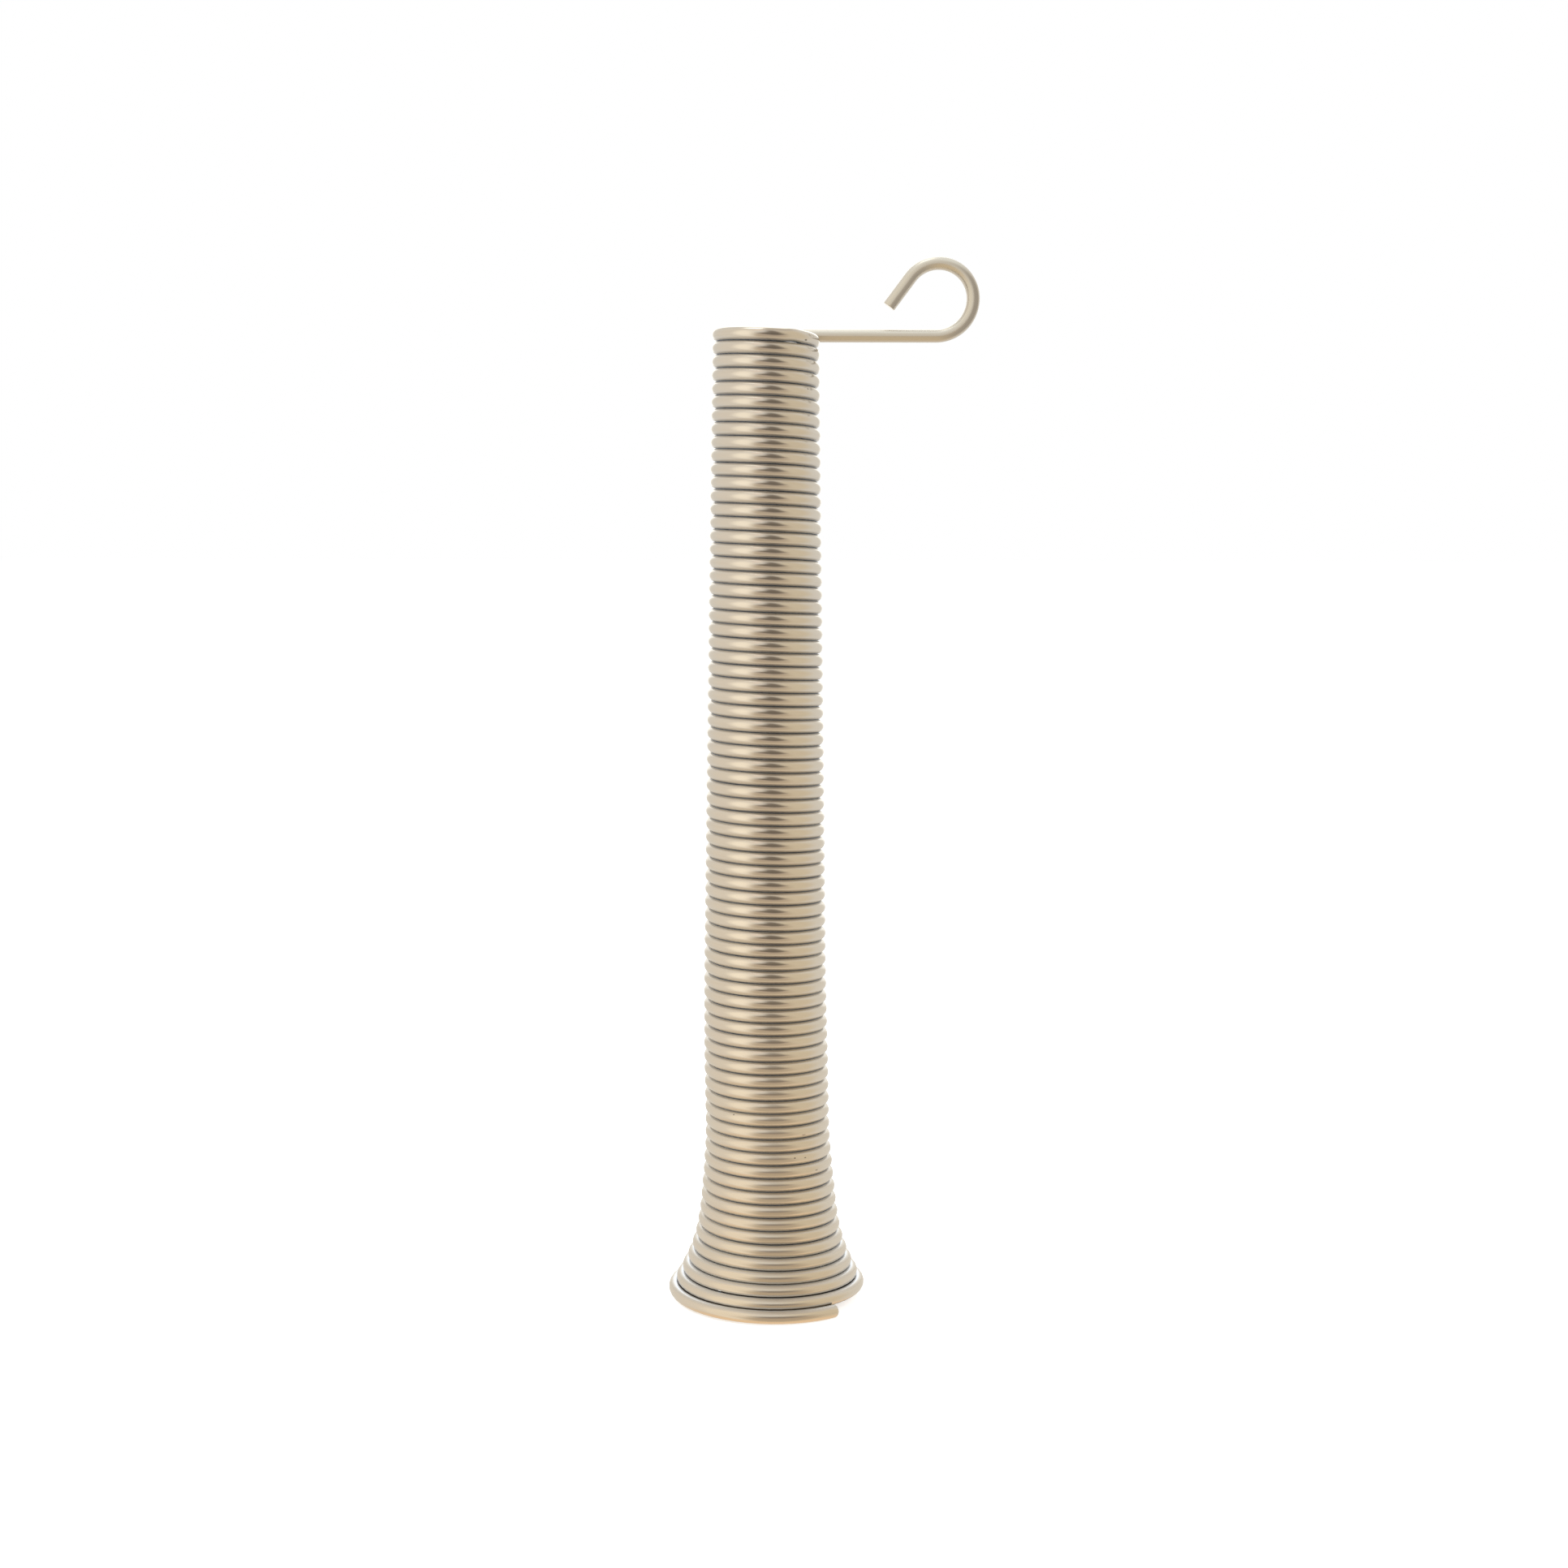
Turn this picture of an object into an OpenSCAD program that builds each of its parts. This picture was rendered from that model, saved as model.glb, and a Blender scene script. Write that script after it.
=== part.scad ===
// Strain relief spring: one length of round wire, close-wound left-handed into a slightly
// tapered tube for a cord, with a flared mouth below and a straight leg with an open hook above.
// The axis is Z. The mouth stands on z = 0, and the leg leaves the back of the top turn along +X.

/* [Wire] */
// Diameter of the wire
wire_d = 1.5; // [1:0.05:1.8]
// Clear gap between neighbouring turns
turn_gap = 0.03; // [0.02:0.01:0.2]
// Chamfer on the two cut ends of the wire
end_chamfer = 0.2; // [0.1:0.05:0.4]

/* [Tube] */
// Inner diameter of the top turn
top_bore = 9.4; // [7:0.1:14]
// Turns in the tapered tube
tube_turns = 55; // [20:1:70]
// Lean of the tube's wall from the axis, in degrees
tube_lean = 0.77; // [0:0.01:1.5]
// Turns in the straight waist below the tube
waist_turns = 5; // [2:1:10]

/* [Neck and mouth] */
// Turns in the neck, which widens gently
neck_turns = 9; // [4:1:14]
// Lean of the neck's wall, in degrees
neck_lean = 4.6; // [1:0.1:10]
// Turns in the flared mouth, before the last part of a turn
mouth_turns = 5; // [3:1:8]
// Lean of the mouth's wall, in degrees
mouth_lean = 30; // [15:1:40]
// Lean of the mouth's last turn, in degrees
lip_lean = 48; // [20:1:55]
// How far the wire's lower end runs past the front, in degrees
end_past_front = 42; // [10:1:80]

/* [Leg and hook] */
// Length of the straight leg
leg_length = 19.6; // [5:0.1:60]
// Radius of the bend that levels the leg, to the wire's centre line
leg_bend_radius = 6; // [3:0.5:12]
// Radius of the hook's first quarter, to the wire's centre line
hook_radius = 4.34; // [3:0.01:12]
// Radius of the rest of the hook, to the wire's centre line
hook_tip_radius = 4.09; // [3:0.01:12]
// How far the hook turns on after its first quarter, in degrees
hook_tip_sweep = 143.13; // [90:0.01:150]
// Length of the hook's straight tail
tail_length = 4.05; // [1:0.05:5]

/* [Hidden] */
$fn = 32;

pitch = wire_d + turn_gap;
wire_step = pitch / 2;
turns = tube_turns + waist_turns + neck_turns + mouth_turns;
last_half_turn = 2 * turns + 1;

// The part of the neck over which it takes up its lean, and the turns over which the mouth does
neck_ease = 1 / 3;
mouth_ease = 2;
// The lip's lean is full this far past the mouth's whole turns
lip_past = 0.6;

// The wall's lean, as the turns where it changes and its angle there
waist_top = tube_turns + 1;
neck_top = tube_turns + waist_turns;
neck_full = neck_top + neck_turns * neck_ease;
mouth_top = neck_top + neck_turns;
mouth_full = mouth_top + mouth_ease;
lip_top = turns - 1;
wall_lean = [
    [0, tube_lean],
    [tube_turns, tube_lean],
    [waist_top, 0],
    [neck_top, 0],
    [neck_full, neck_lean],
    [mouth_top, neck_lean],
    [mouth_full, mouth_lean],
    [lip_top, mouth_lean],
    [turns + lip_past, lip_lean]
];

// The coil is a chain of half turns, each an arc in a plane tilted about Y. Joint k, where half turns
// k - 1 and k meet, lies in the plane y = 0, on the right where k is even.
function lean(k) = lookup(k / 2, wall_lean);

// The wall's radius at each joint
wall_radius = [
    for (k = 0, r = (top_bore + wire_d) / 2; k <= last_half_turn + 2;
        r = r + wire_step * sin(lean(k)), k = k + 1) r
];

// Arc radii are rounded to a micron and the cosines of the tilts to a millionth, and the joints
// follow from them, so that neighbouring arcs meet to well under a micron.
micron = 0.001;
millionth = 0.000001;
function in_steps(size, step) = round(size / step) * step;
function steepness(k) =
    acos(in_steps(cos(asin(wire_step * cos(lean(k)) / (wall_radius[k] + wall_radius[k + 1]))), millionth));
function next_arc(k, radius) =
    in_steps((radius + wall_radius[k + 1]) / 2 / cos(steepness(k)), micron);

// Each joint as [radius, depth below the first joint]
joints = [
    for (k = 0, joint = [wall_radius[0], 0]; k <= last_half_turn + 1;
        joint = [
            2 * next_arc(k, joint[0]) * cos(steepness(k)) - joint[0],
            joint[1] + 2 * next_arc(k, joint[0]) * sin(steepness(k))
        ], k = k + 1) joint
];
function arc_radius(k) = next_arc(k, joints[k][0]);
function tilt(k) = steepness(k) * (k % 2 == 0 ? 1 : -1);
function mid_x(k) = (joints[k][0] - joints[k + 1][0]) / 2 * (k % 2 == 0 ? 1 : -1);
function mid_depth(k) = (joints[k][1] + joints[k + 1][1]) / 2;

// The wire's lower end is the lowest point, and stands on z = 0
end_depth = mid_depth(last_half_turn)
    - arc_radius(last_half_turn) * sin(end_past_front) * sin(tilt(last_half_turn));
top_z = end_depth + wire_d / 2;

// A straight end of the wire starts this far inside the arc before it, and is this much thinner
// all round, so that the two meet cleanly at any angle
end_root = 0.2;
end_ledge = 0.01;

module wire_section() {
    circle(d = wire_d);
}

// An arc of wire about Z, by its radius and angles
module wire_arc(radius, from, sweep) {
    rotate_extrude(angle = sweep, start = from)
        translate([radius, 0])
            wire_section();
}

// A straight length of wire along +Z
module wire_rod(length) {
    cylinder(h = length, d = wire_d);
}

// A straight end of the wire along +Z, with a chamfered tip past its length
module wire_end(length) {
    core = wire_d / 2 - end_ledge;
    rotate_extrude()
        polygon([
            [0, -end_root],
            [core, -end_root],
            [core, length],
            [core - end_chamfer, length + end_chamfer],
            [0, length + end_chamfer]
        ]);
}

// Moves its children to the nearest micron, and then by the rest
module move_finely(offset) {
    coarse = [for (length = offset) in_steps(length, micron)];
    translate(coarse)
        translate(offset - coarse)
            children();
}

// Places its children in the tilted plane of half turn k
module in_half_turn(k) {
    move_finely([mid_x(k), 0, top_z - mid_depth(k)])
        rotate([0, -tilt(k), 0])
            children();
}

module coil() {
    // The first quarter turn, from the leg round to the left
    in_half_turn(0)
        wire_arc(arc_radius(0), 90, 90);
    for (k = [1 : last_half_turn - 1])
        in_half_turn(k)
            wire_arc(arc_radius(k), k % 2 == 0 ? 0 : 180, 180);
    // The last part of a turn, past the front to the cut end
    in_half_turn(last_half_turn) {
        wire_arc(arc_radius(last_half_turn), 180, 90 + end_past_front);
        rotate([0, 0, 270 + end_past_front])
            translate([arc_radius(last_half_turn), 0, 0])
                rotate([-90, 0, 0])
                    wire_end(0);
    }
}

// The hook bends up from the leg's end, about its first quarter's centre
module hook() {
    rotate([90, 0, 0])
        wire_arc(hook_radius, 270, 90);
    translate([hook_radius - hook_tip_radius, 0, 0]) {
        rotate([90, 0, 0])
            wire_arc(hook_tip_radius, 0, hook_tip_sweep);
        rotate([0, -hook_tip_sweep, 0])
            translate([hook_tip_radius, 0, 0])
                wire_end(tail_length);
    }
}

// The leg starts at the back of the first half turn, and its bend takes out that half turn's tilt
module leg_and_hook() {
    in_half_turn(0)
        translate([0, arc_radius(0), -leg_bend_radius])
            rotate([0, tilt(0), 0]) {
                rotate([90, 0, 0])
                    wire_arc(leg_bend_radius, 90, tilt(0));
                translate([0, 0, leg_bend_radius])
                    rotate([0, 90, 0])
                        wire_rod(leg_length);
                translate([leg_length, 0, leg_bend_radius + hook_radius])
                    hook();
            }
}

module spring() {
    color([0.76, 0.73, 0.66])
        union() {
            coil();
            leg_and_hook();
        }
}

spring();
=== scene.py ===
# Looks of a strain relief spring: a close-wound, flared coil of polished wire, with a leg and a hook.
import math

import bpy
import numpy as np
from mathutils import Matrix, Vector


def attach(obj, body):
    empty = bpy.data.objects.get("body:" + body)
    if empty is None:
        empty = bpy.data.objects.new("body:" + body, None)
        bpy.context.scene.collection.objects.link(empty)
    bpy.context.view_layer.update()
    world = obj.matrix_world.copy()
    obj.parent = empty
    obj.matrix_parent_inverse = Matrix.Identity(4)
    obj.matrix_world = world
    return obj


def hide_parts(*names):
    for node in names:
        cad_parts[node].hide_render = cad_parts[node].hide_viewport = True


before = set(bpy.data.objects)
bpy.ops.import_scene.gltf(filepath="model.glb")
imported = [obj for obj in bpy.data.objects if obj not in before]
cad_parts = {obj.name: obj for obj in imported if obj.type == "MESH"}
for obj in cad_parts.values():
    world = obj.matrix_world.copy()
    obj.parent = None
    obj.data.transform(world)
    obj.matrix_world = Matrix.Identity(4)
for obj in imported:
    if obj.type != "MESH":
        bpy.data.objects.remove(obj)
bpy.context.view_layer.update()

MM = 0.001

# The coil's centre line: a true helix close to the solids' chain of flat half turns
PITCH = 1.5335 * MM
TOP_RADIUS = 5.45 * MM
TURNS = 74
END_PAST_FRONT = math.radians(42)
# The lean of the coil's wall, in degrees, at the turns where it changes
LEAN_TURNS = (0, 55, 56, 60, 63, 67, 69, 71.5, 73, 74.6)
LEAN_DEGREES = (0.77, 0.77, 0, 0, 4.6, 6, 12, 24, 29, 48)
# Places along the coil are counted in half turns, which start on the right and on the left in turn. The
# back and the front lie halfway along them.
A_TURN = 2
HALFWAY = 0.5
DEGREES_A_HALF_TURN = 180

# The leg and the hook
LEG_LENGTH = 19.72 * MM
LEG_BEND_RADIUS = 6 * MM
HOOK_RADIUS = 4.34 * MM
HOOK_TIP_RADIUS = 4.09 * MM
HOOK_TIP_SWEEP = math.radians(143.13)
TAIL_LENGTH = 4.25 * MM

# The skin is a hair thicker than the solid wire, so that neighbouring turns touch, as wound ones do
SKIN_D = 1.55 * MM
# How far the turns stray from their places, as sums of waves: the waves' paces in radians a half turn, and
# how much later each starts than the one before it, in radians
STRAY = 0.012 * MM
OUTWARD_WAVES = (1.3, 3.1, 7.7)
UPWARD_WAVES = (1.7, 4.3, 9.1)
WAVE_OFFSET = 2
# The first turn stands up this far in one spot, this many degrees right of the front, and has settled
# again this many degrees to either side
LOOSE_GAP = 0.1 * MM
LOOSE_AZIMUTH = 33
LOOSE_SPAN = 16
# The neck and the mouth bow this far to the right, from this height downwards, over this much of it
BOW = 0.45 * MM
BOW_FROM = 42 * MM
BOW_OVER = 34 * MM

# How finely the wire's surface is made: the points round it, and the rings along each stretch
WIRE_SIDES = 24
RINGS_A_HALF_TURN = 26
TAIL_RINGS = 8
HOOK_TIP_RINGS = 30
HOOK_RINGS = 20
LEG_RINGS = 16
LEG_BEND_RINGS = 4
# The fillets of the cut ends, and the rings within a cut face, as shares of its radius
HOOK_END_FILLET = 0.06 * MM
LOWER_END_FILLET = 0.4 * MM
FILLET_RINGS = 5
FACE_RINGS = (0.6, 0.15)

# The camera
CAMERA_PLACE = Vector((2.2 * MM, -271.0 * MM, 88.99 * MM))
CAMERA_PITCH = math.radians(5.765)
CAMERA_ROLL = math.radians(0.12)
CAMERA_LENS = 53.13
CAMERA_NEAREST = 10 * MM
SENSOR = 36


def set_up_camera():
    camera = bpy.data.objects.new("camera", bpy.data.cameras.new("camera"))
    bpy.context.scene.collection.objects.link(camera)
    camera.data.sensor_width = SENSOR
    camera.data.lens = CAMERA_LENS
    camera.data.clip_start = CAMERA_NEAREST
    upright = Matrix.Rotation(math.pi / 2 - CAMERA_PITCH, 4, "X")
    roll = Matrix.Rotation(CAMERA_ROLL, 4, "Z")
    camera.matrix_world = Matrix.Translation(CAMERA_PLACE) @ upright @ roll
    bpy.context.scene.camera = camera


# The centre line


def lean(joint):
    """The wall's lean at a joint between half turns, in radians."""
    return math.radians(np.interp(joint / 2, LEAN_TURNS, LEAN_DEGREES))


def joints():
    """The radius and depth of each joint between half turns, from the top."""
    found = [(TOP_RADIUS, 0.0)]
    for joint in range(2 * TURNS + 2):
        radius, depth = found[-1]
        outward, downward = math.sin(lean(joint)), math.cos(lean(joint))
        found.append((radius + PITCH / 2 * outward, depth + PITCH / 2 * downward))
    return found


def coil_points():
    """Points down the coil's centre line from its back, with heights from the first joint, and how many
    half turns below that joint each point lies."""
    ends = joints()
    last = len(ends) - 2
    points, turned = [], []
    for k in range(last + 1):
        (upper, depth), (lower, next_depth) = ends[k], ends[k + 1]
        side = 1 if k % 2 == 0 else -1
        first_share = HALFWAY if k == 0 else 0
        last_share = HALFWAY + END_PAST_FRONT / math.pi if k == last else 1
        rings = round(RINGS_A_HALF_TURN * (last_share - first_share))
        shares = [first_share + (last_share - first_share) * ring / rings for ring in range(rings)]
        if k == last:
            shares.append(last_share)
        for share in shares:
            x = (upper - lower) / 2 + (upper + lower) / 2 * math.cos(share * math.pi)
            y = (upper + lower) / 2 * math.sin(share * math.pi)
            points.append(Vector((side * x, side * y, -depth - (next_depth - depth) * share)))
            turned.append(k + share)
    return points, np.array(turned)


def arc_in_xz(centre, radius, start, end, rings):
    """Points of an arc in a plane of constant y, by angles from +X towards +Z, without the last one."""
    angles = [start + (end - start) * ring / rings for ring in range(rings)]
    return [centre + radius * Vector((math.cos(angle), 0, math.sin(angle))) for angle in angles]


def leg_points(root, tilt):
    """Points from the hook's cut tip to the leg's root behind the first turn, without the root itself."""
    bend = root + LEG_BEND_RADIUS * Vector((math.sin(tilt), 0, -math.cos(tilt)))
    level = bend + Vector((0, 0, LEG_BEND_RADIUS))
    leg_end = level + Vector((LEG_LENGTH, 0, 0))
    hook_centre = leg_end + Vector((0, 0, HOOK_RADIUS))
    tip_centre = hook_centre + Vector((HOOK_RADIUS - HOOK_TIP_RADIUS, 0, 0))
    out = Vector((math.cos(HOOK_TIP_SWEEP), 0, math.sin(HOOK_TIP_SWEEP)))
    along = Vector((-out.z, 0, out.x))
    tail_end = tip_centre + HOOK_TIP_RADIUS * out + TAIL_LENGTH * along
    points = [tail_end - along * TAIL_LENGTH * ring / TAIL_RINGS for ring in range(TAIL_RINGS)]
    points += arc_in_xz(tip_centre, HOOK_TIP_RADIUS, HOOK_TIP_SWEEP, 0, HOOK_TIP_RINGS)
    points += arc_in_xz(hook_centre, HOOK_RADIUS, 0, -math.pi / 2, HOOK_RINGS)
    points += [leg_end.lerp(level, ring / LEG_RINGS) for ring in range(LEG_RINGS)]
    points += arc_in_xz(bend, LEG_BEND_RADIUS, math.pi / 2, math.pi / 2 + tilt, LEG_BEND_RINGS)
    return points


def waver(turned, paces):
    """A wandering value from -1 to 1 along the coil."""
    return sum(np.sin(turned * pace + WAVE_OFFSET * i) for i, pace in enumerate(paces)) / len(paces)


def let_stray(coil, turned):
    """Moves the turns a little, but not at the leg's root, and lets the first one stand up in a spot."""
    outward = coil * (1, 1, 0)
    outward /= np.linalg.norm(outward, axis=1)[:, None]
    settled = np.clip(turned - HALFWAY, 0, 1)
    coil += (STRAY * settled * waver(turned, OUTWARD_WAVES))[:, None] * outward
    coil[:, 2] += STRAY * settled * waver(turned, UPWARD_WAVES)
    aside = (turned - (1 + HALFWAY)) * DEGREES_A_HALF_TURN - LOOSE_AZIMUTH
    coil[:, 2] += LOOSE_GAP * np.cos(np.clip(aside / LOOSE_SPAN, -1, 1) * math.pi / 2) ** 2


def bow(places):
    """Bows the neck and the mouth to the right, along a smooth step whose slope tilts the turns."""
    share = np.clip((BOW_FROM - places[:, 2]) / BOW_OVER, 0, 1)
    places[:, 2] += places[:, 0] * BOW * 6 * share * (1 - share) / BOW_OVER
    places[:, 0] += BOW * share ** 2 * (3 - 2 * share)


def stand(places):
    """Moves the wire up or down until its skin stands on z = 0."""
    places[:, 2] += SKIN_D / 2 - places[:, 2].min()


class WireLine:
    """The whole centre line, from the hook's tip to the lower end."""

    def __init__(self):
        coil, self.turned = coil_points()
        tilt = math.atan(PITCH / 2 / (math.pi * TOP_RADIUS))
        leg = leg_points(coil[0], tilt)
        self.coil_start = len(leg)
        self.places = np.array(leg + coil)
        stand(self.places)
        let_stray(self.places[self.coil_start:], self.turned)
        bow(self.places)
        stand(self.places)
        steps = np.linalg.norm(np.diff(self.places, axis=0), axis=1)
        self.length = np.concatenate([[0], np.cumsum(steps)])

    def length_at(self, half_turns):
        """The length along the wire at a number of half turns below the first joint."""
        return float(np.interp(half_turns, self.turned, self.length[self.coil_start:]))


def wire_mesh(line):
    """The wire's skin: a ring of points round each place on the line, and filleted ends."""
    places, length = line.places, line.length
    ahead = np.gradient(places, axis=0)
    ahead /= np.linalg.norm(ahead, axis=1)[:, None]
    outward = places * (1, 1, 0)
    outward[:line.coil_start] = (0, 1, 0)
    outward -= ahead * (outward * ahead).sum(1)[:, None]
    outward /= np.linalg.norm(outward, axis=1)[:, None]
    down = np.cross(ahead, outward)
    radius = SKIN_D / 2

    def end_rings(at, direction, fillet):
        """The rings of a filleted end, set back from the cut and drawn in, and those within its face."""
        centre, out, low = places[at], outward[at], down[at]
        angles = np.linspace(0, math.pi / 2, FILLET_RINGS)
        set_back = fillet * (1 - np.sin(angles))
        drawn_in = fillet * (1 - np.cos(angles))
        rings = [(centre - direction * back, out, low, radius - inwards, length[at])
                 for back, inwards in zip(set_back, drawn_in)]
        rings += [(centre, out, low, (radius - fillet) * share, length[at]) for share in FACE_RINGS]
        return rings

    rings = end_rings(0, -ahead[0], HOOK_END_FILLET)[::-1]
    rings += [(places[i], outward[i], down[i], radius, length[i]) for i in range(1, len(places) - 1)]
    rings += end_rings(-1, ahead[-1], LOWER_END_FILLET)

    around = np.linspace(0, 2 * math.pi, WIRE_SIDES, endpoint=False)
    cos, sin = np.cos(around)[:, None], np.sin(around)[:, None]
    vertices = np.concatenate([centre + size * (cos * out + sin * low)
                               for centre, out, low, size, _ in rings])
    side = np.arange(WIRE_SIDES)
    first = np.arange(len(rings) - 1)[:, None] * WIRE_SIDES
    near, beside = first + side, first + (side + 1) % WIRE_SIDES
    quads = np.stack([near, beside, beside + WIRE_SIDES, near + WIRE_SIDES], axis=-1).reshape(-1, 4)
    caps = [side[::-1].tolist(), (first[-1, 0] + WIRE_SIDES + side).tolist()]

    mesh = bpy.data.meshes.new("spring_wire")
    mesh.from_pydata(vertices.tolist(), [], quads.tolist() + caps)
    mesh.shade_smooth()
    map_wire(mesh, np.array([ring[-1] for ring in rings]))
    return mesh


def map_wire(mesh, along):
    """Gives each corner the length along the wire in metres, and the share of the way round it from the
    coil's outer side downwards."""
    near = np.repeat(along[:-1], WIRE_SIDES)
    far = np.repeat(along[1:], WIRE_SIDES)
    share = np.tile(np.arange(WIRE_SIDES) / WIRE_SIDES, len(along) - 1)
    next_share = share + 1 / WIRE_SIDES
    corners = np.stack([near, share, near, next_share, far, next_share, far, share], axis=-1)
    cap_corners = np.array([[along[0], 0]] * WIRE_SIDES + [[along[-1], 0]] * WIRE_SIDES)
    layer = mesh.uv_layers.new(name="wire")
    all_corners = np.concatenate([corners.reshape(-1, 2), cap_corners])
    layer.data.foreach_set("uv", all_corners.astype(np.float32).ravel())


# Materials


class Nodes:
    """Adds and joins nodes in one tree."""

    # The places of a Mix node's sockets for a share and two colours, and of the colour that it gives
    MIX_SHARE, MIX_FIRST, MIX_SECOND = 0, 6, 7
    MIX_RESULT = 2

    def __init__(self, tree):
        self.tree = tree
        tree.nodes.clear()

    def add(self, kind, settings=None, **inputs):
        """A new node, with its settings and its inputs by name, with _ for a space."""
        node = self.tree.nodes.new(kind)
        for name, value in (settings or {}).items():
            setattr(node, name, value)
        for name, value in inputs.items():
            self.put(node.inputs[name.replace("_", " ")], value)
        return node

    def put(self, socket, value):
        """Links a socket to another, or sets its value."""
        if isinstance(value, bpy.types.NodeSocket):
            self.tree.links.new(value, socket)
        else:
            socket.default_value = value

    def operate(self, kind, operation, values):
        """The outputs of a node that works out one operation on these values."""
        node = self.add(kind, {"operation": operation})
        for socket, value in zip(node.inputs, values):
            self.put(socket, value)
        return node.outputs

    def math(self, operation, *values):
        return self.operate("ShaderNodeMath", operation, values)["Value"]

    def vector(self, operation, *values):
        return self.operate("ShaderNodeVectorMath", operation, values)["Vector"]

    def length(self, vector):
        return self.operate("ShaderNodeVectorMath", "LENGTH", [vector])["Value"]

    def ramp(self, value, low, high, to_low=0.0, to_high=1.0):
        """A smooth step from one value to another."""
        node = self.add("ShaderNodeMapRange", {"interpolation_type": "SMOOTHSTEP"}, Value=value,
                        From_Min=low, From_Max=high, To_Min=to_low, To_Max=to_high)
        return node.outputs["Result"]

    def ellipse(self, across, up, half_width, half_height, softness):
        """1 inside an ellipse about zero and 0 outside. Its soft edge is given as a share of its size."""
        place = self.add("ShaderNodeCombineXYZ", X=self.math("DIVIDE", across, half_width),
                         Y=self.math("DIVIDE", up, half_height)).outputs[0]
        return self.ramp(self.length(place), 1 - softness, 1 + softness, 1.0, 0.0)

    def mix(self, share, first, second):
        """A blend of two colours."""
        node = self.add("ShaderNodeMix", {"data_type": "RGBA"})
        self.put(node.inputs[self.MIX_SHARE], share)
        self.put(node.inputs[self.MIX_FIRST], first)
        self.put(node.inputs[self.MIX_SECOND], second)
        return node.outputs[self.MIX_RESULT]


def new_material(name):
    """A material, and the nodes of its tree."""
    material = bpy.data.materials.new(name)
    material.use_nodes = True
    return material, Nodes(material.node_tree)


def colour(red, green, blue):
    return (red, green, blue, 1)


# The metal has bright and dull patches, told apart over this range of a noise. It is a little yellower
# towards the mouth, in full from this many half turns below the first joint.
METAL_TOP = colour(0.76, 0.73, 0.675)
METAL_TOP_DULL = colour(0.74, 0.705, 0.645)
METAL_FOOT = colour(0.78, 0.73, 0.645)
METAL_FOOT_DULL = colour(0.765, 0.71, 0.62)
DULL_BETWEEN = (0.35, 0.65)
METAL_FOOT_AT = 110

# That noise and the one for the drawing lines are drawn out along the wire: a metre of it counts as this
# many of its radii
RADII_A_METRE = 28.0
# The drawing lines: the range of their noise, the roughness at its ends, and their bumps
LINES_BETWEEN = (0.3, 0.7)
LINE_ROUGHNESS = (0.15, 0.21)
LINE_STRENGTH = 0.25
LINE_HEIGHT = 0.004 * MM
# The leg and the hook are rougher by this much, from this far before the coil
LEG_ROUGHER = 0.1
LEG_ROUGHER_OVER = 4 * MM

# Painted shade, dark and bluish, lies beside each groove, and a painted pale bluish sheen deep in it. Each
# starts and is full at these places on the wire's lower and upper side, counted from -1 at its top to 1 at
# its bottom.
GROOVE_SHADE = colour(0.32, 0.41, 0.56)
GROOVE_SHADE_STRENGTH = 0.17
GROOVE_SHADE_ROUGHER = 0.2
GROOVE_SHADE_LOWER = (0.45, 0.85)
GROOVE_SHADE_UPPER = (-0.55, -0.9)
GROOVE_SHEEN = colour(0.72, 0.81, 0.96)
GROOVE_SHEEN_STRENGTH = 0.6
GROOVE_SHEEN_LOWER = (0.85, 1.0)
GROOVE_SHEEN_UPPER = (-0.9, -1.0)
# How many half turns they take to start, below and above the first groove, and to end, a turn before the
# wire does
GROOVE_START = 0.3
GROOVE_END = 0.2

DARK_MARK = colour(0.13, 0.11, 0.09)
# The colour of the painted shadow along the last two grooves
PAINTED_GROOVE_SHADOW = colour(0.09, 0.09, 0.12)
BARE = colour(0.95, 0.94, 0.91)
# Marks on the coil: half turns below the first joint, share of the way round, half length in mm, half width
# as a share of the way round, and colour
MARKS = {
    # Two dark spots on the first turns, right of the front, near the leg's root
    "dark_spot_right_of_front": (1.77, 0.08, 0.16, 0.02, DARK_MARK),
    "spot_by_the_leg": (3.86, 0.95, 0.12, 0.02, DARK_MARK),
    "top_speck": (9.78, 0.935, 0.10, 0.016, DARK_MARK),
    "left_speck": (119.32, 0.90, 0.09, 0.014, DARK_MARK),
    "neck_speck": (125.64, 0.96, 0.10, 0.016, DARK_MARK),
    "neck_speck_beside_it": (125.70, 0.98, 0.12, 0.012, DARK_MARK),
    "neck_scuff": (121.70, 0.06, 0.25, 0.010, DARK_MARK),
    "right_scuff": (127.77, 0.015, 0.2, 0.010, DARK_MARK),
    # These two are painted shadow: dark bands along the last two grooves
    "shadow_in_groove_above_the_last_turn": (146.6, 0.135, 48, 0.045, PAINTED_GROOVE_SHADOW),
    "shadow_in_groove_below_it": (148.6, 0.68, 48, 0.045, PAINTED_GROOVE_SHADOW),
    "nick": (145.31, 0.09, 0.18, 0.022, BARE),
}
MARK_STRENGTH = 0.8
MARK_SOFTNESS = 0.5


def groove_shares(n, line, along, low):
    """The shares of the painted groove shade and the painted groove sheen, none where no turn lies below or
    above.
    """
    last_above = line.turned[-1] - A_TURN
    turn_below = n.ramp(along, line.length_at(last_above), line.length_at(last_above - GROOVE_END))
    on_coil = n.ramp(along, line.length_at(HALFWAY), line.length_at(HALFWAY + GROOVE_START))
    lower_side = n.math("MULTIPLY", turn_below, on_coil)
    upper_side = n.ramp(along, line.length_at(A_TURN), line.length_at(A_TURN + GROOVE_START))

    def on_both_sides(lower_reach, upper_reach):
        below = n.math("MULTIPLY", lower_side, n.ramp(low, *lower_reach))
        above = n.math("MULTIPLY", upper_side, n.ramp(low, *upper_reach))
        return n.math("ADD", below, above)

    return on_both_sides(GROOVE_SHADE_LOWER, GROOVE_SHADE_UPPER), on_both_sides(GROOVE_SHEEN_LOWER, GROOVE_SHEEN_UPPER)


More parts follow.
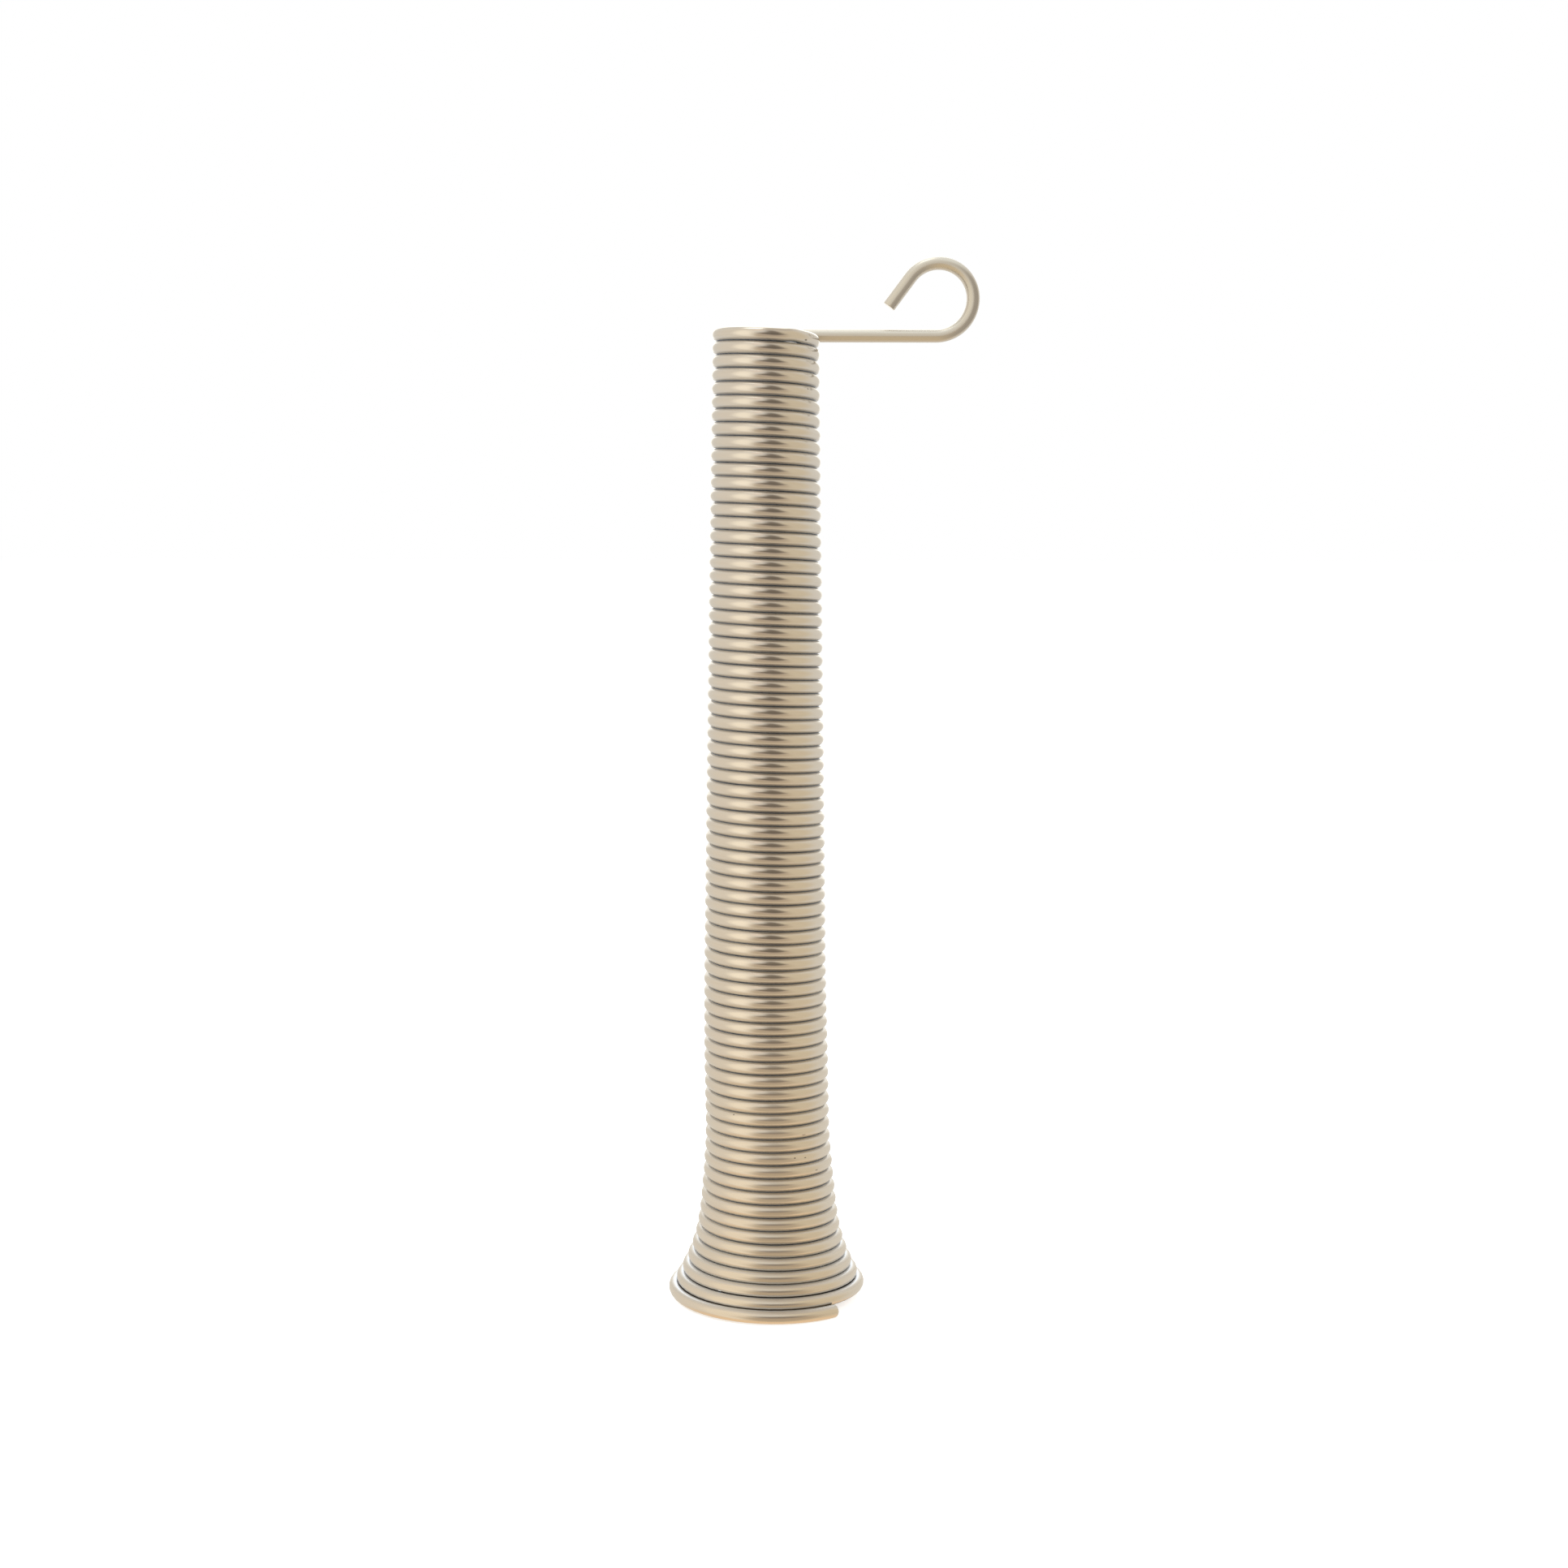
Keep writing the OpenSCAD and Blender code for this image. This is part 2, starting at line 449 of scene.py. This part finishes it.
def wire_material(line):
    """Bright nickel plate, with drawing lines, painted shade and a painted pale bluish sheen at the
    grooves, and marks.
    """
    material, n = new_material("wire")
    at = n.add("ShaderNodeUVMap", {"uv_map": "wire"}).outputs["UV"]
    parts = n.add("ShaderNodeSeparateXYZ", Vector=at)
    along, round_share = parts.outputs["X"], parts.outputs["Y"]
    angle = n.math("MULTIPLY", round_share, 2 * math.pi)
    out = n.math("COSINE", angle)
    low = n.math("SINE", angle)

    stretched = n.math("MULTIPLY", along, RADII_A_METRE)
    drawn_out = n.add("ShaderNodeCombineXYZ", X=stretched, Y=out, Z=low).outputs[0]
    lines = n.add("ShaderNodeTexNoise", Vector=drawn_out, Scale=7.0, Detail=4.0).outputs["Fac"]
    patches = n.add("ShaderNodeTexNoise", Vector=drawn_out, Scale=1.3, Detail=2.0).outputs["Fac"]
    dull = n.ramp(patches, *DULL_BETWEEN)
    towards_foot = n.ramp(along, line.length_at(0), line.length_at(METAL_FOOT_AT))
    top = n.mix(dull, METAL_TOP, METAL_TOP_DULL)
    foot = n.mix(dull, METAL_FOOT, METAL_FOOT_DULL)
    tint = n.mix(towards_foot, top, foot)

    # Painted shade beside each groove and a painted pale bluish sheen deep in it, mixed into the metal's
    # colour
    shade_by_grooves, sheen_in_grooves = groove_shares(n, line, along, low)
    tint = n.mix(n.math("MULTIPLY", shade_by_grooves, GROOVE_SHADE_STRENGTH), tint, GROOVE_SHADE)
    tint = n.mix(n.math("MULTIPLY", sheen_in_grooves, GROOVE_SHEEN_STRENGTH), tint, GROOVE_SHEEN)

    inside = {}
    for name, (half_turns, share, half_length, half_width, mark_colour) in MARKS.items():
        past = n.math("SUBTRACT", along, line.length_at(half_turns))
        below = n.math("SUBTRACT", round_share, share)
        inside[name] = n.ellipse(past, below, half_length * MM, half_width, MARK_SOFTNESS)
        tint = n.mix(n.math("MULTIPLY", inside[name], MARK_STRENGTH), tint, mark_colour)

    # The nick scatters light where the rest mirrors it
    mirrors = n.math("SUBTRACT", 1.0, inside["nick"])
    roughness = n.math("ADD", n.ramp(lines, *LINES_BETWEEN, *LINE_ROUGHNESS),
                       n.math("MULTIPLY", shade_by_grooves, GROOVE_SHADE_ROUGHER))
    leg_end = line.length_at(HALFWAY)
    leg_rougher = n.ramp(along, leg_end, leg_end - LEG_ROUGHER_OVER, 0, LEG_ROUGHER)
    roughness = n.math("ADD", roughness, leg_rougher)
    bump = n.add("ShaderNodeBump", Height=lines, Strength=LINE_STRENGTH, Distance=LINE_HEIGHT)
    shader = n.add("ShaderNodeBsdfPrincipled", Base_Color=tint, Metallic=mirrors, Roughness=roughness,
                   Normal=bump.outputs["Normal"])
    n.add("ShaderNodeOutputMaterial", Surface=shader.outputs[0])
    return material


def make_spring():
    line = WireLine()
    spring = bpy.data.objects.new("spring_wire", wire_mesh(line))
    bpy.context.scene.collection.objects.link(spring)
    spring.data.materials.append(wire_material(line))
    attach(spring, "root")
    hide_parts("spring")


# The studio

DOME_RADIUS = 0.6
DOME_CENTRE = Vector((0, 0, 0.06))
DOME_SEGMENTS = 64
# The leg and the hook lie beyond these coordinates, and the coil fades into them over this much before them
LEG_FROM = Vector((5.6, 4.6, 110)) * MM
LEG_BLEND = Vector((5.6, 1.2, 5)) * MM
# The mouth and the neck, which are near the table, lie below this z
LOW_BELOW = 45 * MM

# What the metal reflects, each patch over those before it: the part that shows it, its azimuth from the
# camera's side, positive to the right, its elevation, its half width and half height, all in degrees, its
# softness as a share of its size, and its colour
ROOM = colour(0.80, 0.755, 0.685)
PATCHES = {
    "left_wall": ("all", -75, 5, 48, 75, 0.5, (0.85, 0.77, 0.665)),
    "right_wall": ("all", 60, -5, 42, 75, 0.5, (0.745, 0.64, 0.485)),
    "right_ceiling": ("all", 60, 82, 110, 26, 0.5, (0.62, 0.54, 0.45)),
    "floor": ("all", -10, -84, 400, 36, 0.5, (0.74, 0.62, 0.48)),
    "table": ("low", -10, -82, 400, 38, 0.5, (0.98, 0.725, 0.485)),
    "front_below": ("all", 10, -34, 45, 34, 0.25, (0.64, 0.52, 0.38)),
    "window": ("all", -48, 4, 23, 44, 0.6, (1.16, 1.05, 0.88)),
    "low_window": ("low", -48, 4, 30, 50, 0.6, (0.98, 0.86, 0.69)),
    "lap": ("coil", 9, -14, 34, 34, 0.5, (0.56, 0.455, 0.35)),
    "left_glow": ("coil", -20, 55, 14, 18, 0.5, (0.96, 0.82, 0.70)),
    "figure": ("coil", 17, 20, 17, 37, 0.5, (0.22, 0.18, 0.145)),
    "shoulders": ("coil", 13.5, 5, 28, 14, 0.4, (0.18, 0.15, 0.12)),
    "low_lap": ("low", 12, -20, 42, 26, 0.5, (0.54, 0.43, 0.31)),
    "low_figure": ("low", 12, 8, 30, 15, 0.6, (0.30, 0.255, 0.215)),
    "front_above": ("leg", 5, 48, 40, 48, 0.1, (0.80, 0.75, 0.66)),
    "leg_window": ("leg", -48, 4, 32, 50, 0.6, (0.88, 0.81, 0.67)),
    "leg_below": ("leg", 10, -55, 75, 50, 0.25, (0.70, 0.565, 0.38)),
    "right_of_the_hook": ("leg", 60, 0, 48, 60, 0.35, (0.435, 0.39, 0.33)),
    "leg_sky": ("leg", 0, 90, 400, 40, 0.5, (0.95, 0.95, 0.89)),
    "ceiling_light": ("high", -90, 84, 75, 14, 0.4, (2.0, 1.95, 1.8)),
    "backdrop_top": ("all", 180, 30, 26, 38, 0.4, (1.6, 1.6, 1.55)),
}

# The world lights the object at the first strength, and is white at the second where it is seen
WORLD_LIGHT = 0.5
WORLD_SEEN = 1.0
FLOOR_SIZE = 40
FLOOR_PAPER = colour(0.82, 0.82, 0.82)
FLOOR_GLOW = 0.6
WHITE = colour(1, 1, 1)


def reflecting_parts(n):
    """1 where the point that a reflection comes from lies on a part: on the leg, on the coil, low or high.
    The way back along the ray, from the dome, leads to that point."""
    geometry = n.add("ShaderNodeNewGeometry").outputs
    back = n.add("ShaderNodeVectorMath", {"operation": "SCALE"}, Vector=geometry["Incoming"],
                 Scale=n.add("ShaderNodeLightPath").outputs["Ray Length"]).outputs[0]
    source = n.add("ShaderNodeSeparateXYZ", Vector=n.vector("ADD", geometry["Position"], back)).outputs
    leg = 1.0
    for axis, start, blend in zip("XYZ", LEG_FROM, LEG_BLEND):
        leg = n.math("MULTIPLY", leg, n.ramp(source[axis], start - blend, start))
    low = n.ramp(source["Z"], LOW_BELOW, 0.0)
    high = n.math("SUBTRACT", 1.0, low)
    coil = n.math("MULTIPLY", high, n.math("SUBTRACT", 1.0, leg))
    return {"all": 1.0, "leg": leg, "coil": coil, "low": low, "high": high}


def dome_material():
    """The room, as the patches paint it."""
    material, n = new_material("studio")
    here = n.add("ShaderNodeTexCoord").outputs["Object"]
    parts = n.add("ShaderNodeSeparateXYZ", Vector=n.vector("NORMALIZE", here)).outputs
    azimuth = n.math("DEGREES", n.math("ARCTAN2", parts["X"], n.math("MULTIPLY", parts["Y"], -1.0)))
    elevation = n.math("DEGREES", n.math("ARCSINE", parts["Z"]))
    seen_by = reflecting_parts(n)
    glow = ROOM
    for part, centre, height, half_width, half_height, softness, light in PATCHES.values():
        aside = n.math("WRAP", n.math("SUBTRACT", azimuth, centre), 180.0, -180.0)
        above = n.math("SUBTRACT", elevation, height)
        share = n.ellipse(aside, above, half_width, half_height, softness)
        glow = n.mix(n.math("MULTIPLY", share, seen_by[part]), glow, colour(*light))
    shine = n.add("ShaderNodeEmission", Color=glow, Strength=1.0)
    n.add("ShaderNodeOutputMaterial", Surface=shine.outputs[0])
    return material


def make_dome():
    """A studio around the object, which only its reflections show."""
    bpy.ops.mesh.primitive_uv_sphere_add(segments=DOME_SEGMENTS, ring_count=DOME_SEGMENTS // 2,
                                         radius=DOME_RADIUS, location=DOME_CENTRE)
    dome = bpy.context.object
    dome.name = "studio_dome"
    dome.data.materials.append(dome_material())
    for ray in ("camera", "diffuse", "transmission", "volume_scatter", "shadow"):
        setattr(dome, "visible_" + ray, False)


def seen(n):
    """1 where the camera, a reflection or glass looks."""
    path = n.add("ShaderNodeLightPath").outputs
    straight = n.math("MAXIMUM", path["Is Camera Ray"], path["Is Glossy Ray"])
    return n.math("MAXIMUM", straight, path["Is Transmission Ray"])


def make_world():
    world = bpy.data.worlds.new("world")
    world.use_nodes = True
    bpy.context.scene.world = world
    n = Nodes(world.node_tree)
    strength = n.ramp(seen(n), 0, 1, WORLD_LIGHT, WORLD_SEEN)
    light = n.add("ShaderNodeBackground", Color=WHITE, Strength=strength)
    n.add("ShaderNodeOutputWorld", Surface=light.outputs[0])


def make_floor():
    bpy.ops.mesh.primitive_plane_add(size=FLOOR_SIZE, location=(0, 0, 0))
    floor = bpy.context.object
    floor.name = "floor"
    material, n = new_material("floor")
    paper = n.add("ShaderNodeBsdfDiffuse", Color=FLOOR_PAPER)
    glow = n.add("ShaderNodeEmission", Color=WHITE, Strength=n.math("MULTIPLY", seen(n), FLOOR_GLOW))
    total = n.add("ShaderNodeAddShader")
    n.put(total.inputs[0], paper.outputs[0])
    n.put(total.inputs[1], glow.outputs[0])
    n.add("ShaderNodeOutputMaterial", Surface=total.outputs[0])
    floor.data.materials.append(material)
    floor.visible_glossy = False


def make_lamp(name, azimuth, elevation, distance, size, power):
    """A round lamp that no reflection shows. Its direction is given as a patch's is."""
    light = bpy.data.lights.new(name, "AREA")
    light.shape = "DISK"
    light.size = size
    light.energy = power
    lamp = bpy.data.objects.new(name, light)
    bpy.context.scene.collection.objects.link(lamp)
    turn, rise = math.radians(azimuth), math.radians(elevation)
    aim = Vector((math.sin(turn) * math.cos(rise), -math.cos(turn) * math.cos(rise), math.sin(rise)))
    lamp.location = DOME_CENTRE + aim * distance
    lamp.rotation_euler = aim.to_track_quat("Z", "Y").to_euler()
    lamp.visible_glossy = False


bpy.context.scene.view_settings.view_transform = "Standard"
set_up_camera()
make_spring()
make_world()
make_dome()
make_floor()
make_lamp("key_lamp", azimuth=-40, elevation=50, distance=0.9, size=0.5, power=6)
make_lamp("fill_lamp", azimuth=50, elevation=40, distance=0.9, size=0.6, power=3)
